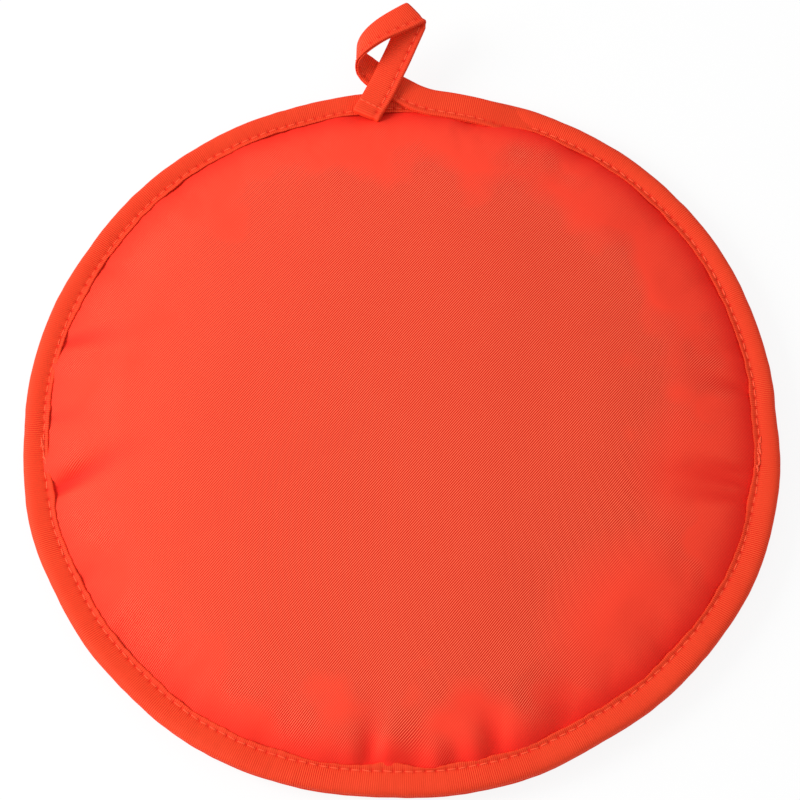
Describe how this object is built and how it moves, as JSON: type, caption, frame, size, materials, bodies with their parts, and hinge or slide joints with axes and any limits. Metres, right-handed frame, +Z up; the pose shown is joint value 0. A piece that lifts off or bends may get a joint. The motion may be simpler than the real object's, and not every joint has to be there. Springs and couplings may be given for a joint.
{
  "type": "tortilla warmer",
  "caption": "Round flat padded cloth pouch with bound edge, mouth across its lower half and folded tape hanging loop, for keeping flatbread warm.",
  "frame": {"origin": "centre of the flat patch of the back panel that the pouch rests on", "axes": "+Z up out of the front panel, +Y from the mouth towards the hanging loop, +X to the right seen from the front"},
  "size_m": [0.305, 0.338, 0.0286],
  "materials": {
    "shell": "orange-red polyester twill, slight sheen",
    "batting": "white needled polyester batting",
    "liner": "milky food-grade plastic film",
    "tape": "orange-red grosgrain tape, cross ribs",
    "thread": "orange-red polyester thread"
  },
  "bodies": {
    "pouch": {"back_shell": "shell", "back_batting": "batting", "back_liner": "liner", "back_mouth_binding": "tape", "back_mouth_stitching": "thread", "front_shell": "shell", "front_batting": "batting", "front_liner": "liner", "seam_binding": "tape", "seam_stitching": "thread", "mouth_binding_ends": "tape", "mouth_end_stitching": "thread", "left_bar_tack": "thread", "right_bar_tack": "thread", "loop_tail": "tape", "loop_tail_stitching": "thread", "loop_sewn_end": "tape", "loop_end_stitching": "thread"},
    "mouth_flap": {"flap_shell": "shell", "flap_batting": "batting", "flap_liner": "liner", "flap_binding": "tape", "flap_stitching": "thread"},
    "loose_loop": {"hanging_loop": "tape", "loop_top_stitching": "thread"}
  },
  "joints": [
    {"name": "mouth_lift", "type": "hinge", "parent": "pouch", "child": "mouth_flap", "pos_m": [0, -0.04215, 0.0273], "axis": [-1, 0, 0], "range_deg": [0, 90]},
    {"name": "loop_swing", "type": "hinge", "parent": "pouch", "child": "loose_loop", "pos_m": [0, 0.1459, 0.016], "axis": [1, 0, 0], "range_deg": [0, 100]}
  ]
}
